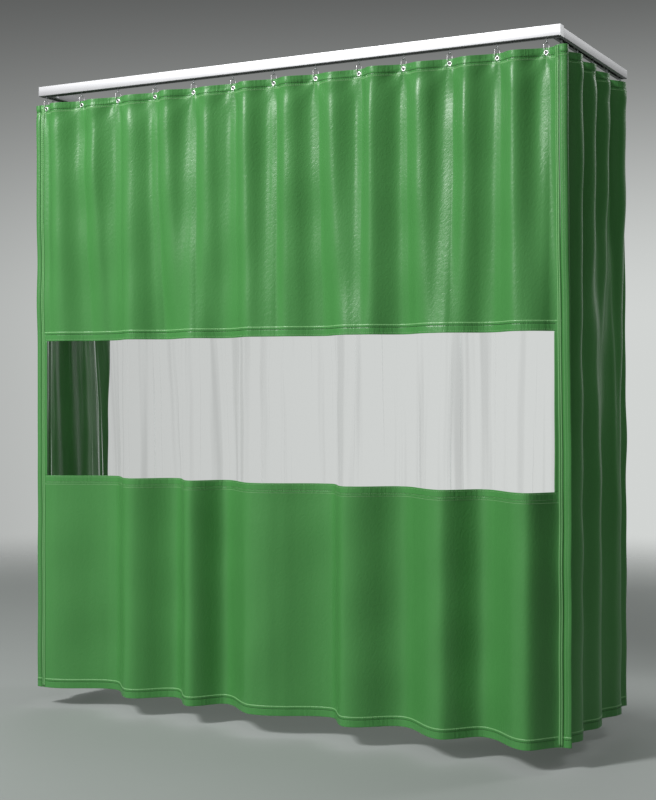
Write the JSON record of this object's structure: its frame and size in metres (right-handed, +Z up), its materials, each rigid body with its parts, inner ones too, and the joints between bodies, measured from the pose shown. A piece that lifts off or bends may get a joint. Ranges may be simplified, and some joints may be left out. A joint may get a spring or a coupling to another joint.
{
  "type": "welding curtain screen",
  "caption": "Ceiling-hung welding booth screen: green vinyl curtains with a clear window band, hung by rings and trolleys from a U-shaped aluminium track.",
  "frame": {"origin": "centre of the front rail's top face, which is fixed to the ceiling", "axes": "+X along the front rail towards the deeper right side, +Y back into the booth, +Z up"},
  "size_m": [2.3484, 0.8817, 2.5155],
  "materials": {
    "rail": "brushed",
    "cap": "satin",
    "bracket": "satin",
    "trolley": "satin",
    "ring": "polished",
    "green_vinyl": "satin",
    "clear_vinyl": "gloss"
  },
  "bodies": {
    "root": {"front_left_border": "green_vinyl", "front_lower_panel": "green_vinyl", "front_rail": "rail", "front_rail_left_cap": "cap", "front_rail_right_cap": "cap", "front_right_border": "green_vinyl", "front_ring_01": "ring", "front_trolley_01": "trolley", "front_upper_panel": "green_vinyl", "front_window": "clear_vinyl", "left_corner_bracket": "bracket", "left_curtain": "green_vinyl", "left_rail": "rail", "left_rail_rear_cap": "cap", "left_ring_03": "ring", "left_trolley_03": "trolley", "right_corner_bracket": "bracket", "right_curtain": "green_vinyl", "right_rail": "rail", "right_rail_rear_cap": "cap", "right_ring_05": "ring", "right_trolley_05": "trolley"},
    "front_carrier_13": {"front_trolley_13": "trolley", "front_ring_13": "ring"},
    "front_carrier_12": {"front_trolley_12": "trolley", "front_ring_12": "ring"},
    "front_carrier_11": {"front_trolley_11": "trolley", "front_ring_11": "ring"},
    "front_carrier_10": {"front_trolley_10": "trolley", "front_ring_10": "ring"},
    "front_carrier_09": {"front_trolley_09": "trolley", "front_ring_09": "ring"},
    "front_carrier_08": {"front_trolley_08": "trolley", "front_ring_08": "ring"},
    "front_carrier_07": {"front_trolley_07": "trolley", "front_ring_07": "ring"},
    "front_carrier_06": {"front_trolley_06": "trolley", "front_ring_06": "ring"},
    "front_carrier_05": {"front_trolley_05": "trolley", "front_ring_05": "ring"},
    "front_carrier_04": {"front_trolley_04": "trolley", "front_ring_04": "ring"},
    "front_carrier_03": {"front_trolley_03": "trolley", "front_ring_03": "ring"},
    "front_carrier_02": {"front_trolley_02": "trolley", "front_ring_02": "ring"},
    "right_carrier_01": {"right_trolley_01": "trolley", "right_ring_01": "ring"},
    "right_carrier_02": {"right_trolley_02": "trolley", "right_ring_02": "ring"},
    "right_carrier_03": {"right_trolley_03": "trolley", "right_ring_03": "ring"},
    "right_carrier_04": {"right_trolley_04": "trolley", "right_ring_04": "ring"},
    "left_carrier_01": {"left_trolley_01": "trolley", "left_ring_01": "ring"},
    "left_carrier_02": {"left_trolley_02": "trolley", "left_ring_02": "ring"}
  },
  "joints": [
    {"name": "front_draw", "type": "slide", "parent": "root", "child": "front_carrier_13", "axis": [-1, 0, 0], "range_m": [0, 1.5372], "deforming": ["front_upper_panel", "front_window", "front_left_border", "front_right_border", "front_lower_panel"]},
    {"name": "front_follow_12", "type": "slide", "parent": "root", "child": "front_carrier_12", "axis": [-1, 0, 0], "range_m": [0, 1.4091]},
    {"name": "front_follow_11", "type": "slide", "parent": "root", "child": "front_carrier_11", "axis": [-1, 0, 0], "range_m": [0, 1.281]},
    {"name": "front_follow_10", "type": "slide", "parent": "root", "child": "front_carrier_10", "axis": [-1, 0, 0], "range_m": [0, 1.1529]},
    {"name": "front_follow_09", "type": "slide", "parent": "root", "child": "front_carrier_09", "axis": [-1, 0, 0], "range_m": [0, 1.0248]},
    {"name": "front_follow_08", "type": "slide", "parent": "root", "child": "front_carrier_08", "axis": [-1, 0, 0], "range_m": [0, 0.8967]},
    {"name": "front_follow_07", "type": "slide", "parent": "root", "child": "front_carrier_07", "axis": [-1, 0, 0], "range_m": [0, 0.7686]},
    {"name": "front_follow_06", "type": "slide", "parent": "root", "child": "front_carrier_06", "axis": [-1, 0, 0], "range_m": [0, 0.6405]},
    {"name": "front_follow_05", "type": "slide", "parent": "root", "child": "front_carrier_05", "axis": [-1, 0, 0], "range_m": [0, 0.5124]},
    {"name": "front_follow_04", "type": "slide", "parent": "root", "child": "front_carrier_04", "axis": [-1, 0, 0], "range_m": [0, 0.3843]},
    {"name": "front_follow_03", "type": "slide", "parent": "root", "child": "front_carrier_03", "axis": [-1, 0, 0], "range_m": [0, 0.2562]},
    {"name": "front_follow_02", "type": "slide", "parent": "root", "child": "front_carrier_02", "axis": [-1, 0, 0], "range_m": [0, 0.1281]},
    {"name": "right_draw", "type": "slide", "parent": "root", "child": "right_carrier_01", "axis": [0, 1, 0], "range_m": [0, 0.4984], "deforming": ["right_curtain"]},
    {"name": "right_follow_02", "type": "slide", "parent": "root", "child": "right_carrier_02", "axis": [0, 1, 0], "range_m": [0, 0.3738]},
    {"name": "right_follow_03", "type": "slide", "parent": "root", "child": "right_carrier_03", "axis": [0, 1, 0], "range_m": [0, 0.2492]},
    {"name": "right_follow_04", "type": "slide", "parent": "root", "child": "right_carrier_04", "axis": [0, 1, 0], "range_m": [0, 0.1246]},
    {"name": "left_draw", "type": "slide", "parent": "root", "child": "left_carrier_01", "axis": [0, 1, 0], "range_m": [0, 0.2814], "deforming": ["left_curtain"]},
    {"name": "left_follow_02", "type": "slide", "parent": "root", "child": "left_carrier_02", "axis": [0, 1, 0], "range_m": [0, 0.1407]}
  ],
  "couplings": [
    {"joint": "front_follow_12", "follows": "front_draw", "ratio": 0.91667},
    {"joint": "front_follow_11", "follows": "front_draw", "ratio": 0.83333},
    {"joint": "front_follow_10", "follows": "front_draw", "ratio": 0.75},
    {"joint": "front_follow_09", "follows": "front_draw", "ratio": 0.66667},
    {"joint": "front_follow_08", "follows": "front_draw", "ratio": 0.58333},
    {"joint": "front_follow_07", "follows": "front_draw", "ratio": 0.5},
    {"joint": "front_follow_06", "follows": "front_draw", "ratio": 0.41667},
    {"joint": "front_follow_05", "follows": "front_draw", "ratio": 0.33333},
    {"joint": "front_follow_04", "follows": "front_draw", "ratio": 0.25},
    {"joint": "front_follow_03", "follows": "front_draw", "ratio": 0.16667},
    {"joint": "front_follow_02", "follows": "front_draw", "ratio": 0.083333},
    {"joint": "right_follow_02", "follows": "right_draw", "ratio": 0.75},
    {"joint": "right_follow_03", "follows": "right_draw", "ratio": 0.5},
    {"joint": "right_follow_04", "follows": "right_draw", "ratio": 0.25},
    {"joint": "left_follow_02", "follows": "left_draw", "ratio": 0.5}
  ]
}
